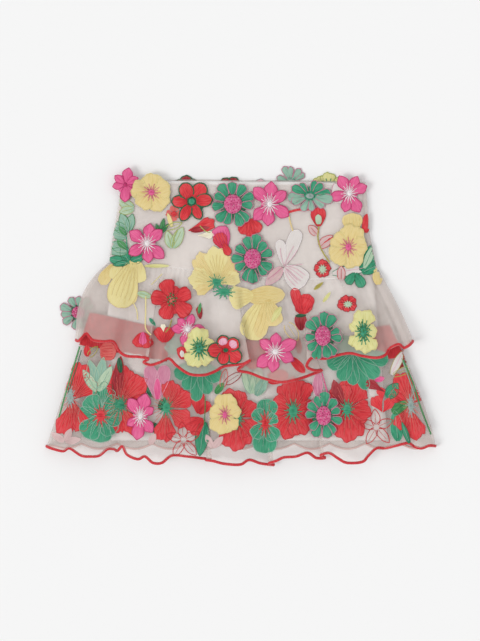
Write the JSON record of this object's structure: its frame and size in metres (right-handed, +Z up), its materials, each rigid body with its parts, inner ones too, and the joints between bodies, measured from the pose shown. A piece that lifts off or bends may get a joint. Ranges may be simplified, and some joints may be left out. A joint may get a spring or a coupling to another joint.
{
  "type": "tulle skirt",
  "caption": "Child's short skirt lying flat: a straight yoke and two gathered tulle tiers with scalloped hems over a plain lining, with stiff flower appliques.",
  "frame": {"origin": "bottom centre of the box around the skirt, on the surface that it lies on", "axes": "+X along the hem towards the wearer's left side as seen in front view, +Y from hem to waist, +Z up through the cloth, front side up"},
  "size_m": [0.436, 0.336, 0.0294],
  "materials": {
    "tulle": "sheer tulle and organza, matt",
    "lining": "fine plain white weave, matt",
    "thread_red": "satin-stitched thread, slight sheen",
    "thread_magenta": "satin-stitched thread, slight sheen",
    "thread_yellow": "satin-stitched thread, slight sheen",
    "thread_green": "satin-stitched thread, slight sheen",
    "thread_mint": "wrong side of satin stitch, matt"
  },
  "bodies": {
    "root": {"yoke_front": "tulle", "yoke_back": "tulle", "lining_front": "lining", "lining_back": "lining", "upper_tier_front": "tulle", "upper_tier_back": "tulle", "lower_tier_front": "tulle", "lower_tier_back": "tulle", "flower_waist_star_left": "thread_magenta", "flower_waist_petunia": "thread_yellow", "flower_waist_round": "thread_red", "flower_waist_daisy": "thread_green", "flower_waist_star": "thread_magenta", "flower_waist_daisy_folded": "thread_green", "flower_waist_star_right": "thread_magenta", "flower_yoke_star": "thread_magenta", "flower_yoke_daisy": "thread_green", "flower_yoke_petunia": "thread_yellow", "flower_upper_round": "thread_red", "flower_upper_star_folded": "thread_magenta", "flower_upper_poppy_left": "thread_yellow", "flower_upper_round_low": "thread_red", "flower_upper_star": "thread_magenta", "flower_upper_daisy": "thread_green", "flower_upper_poppy_right": "thread_yellow", "flower_lower_star": "thread_magenta", "flower_lower_petunia": "thread_yellow", "flower_lower_daisy": "thread_green", "flower_side_daisy": "thread_mint", "flower_back_round_left": "thread_red", "flower_back_round": "thread_red", "flower_back_star": "thread_magenta", "flower_back_daisy": "thread_mint", "flower_back_poppy": "thread_yellow"}
  },
  "joints": []
}
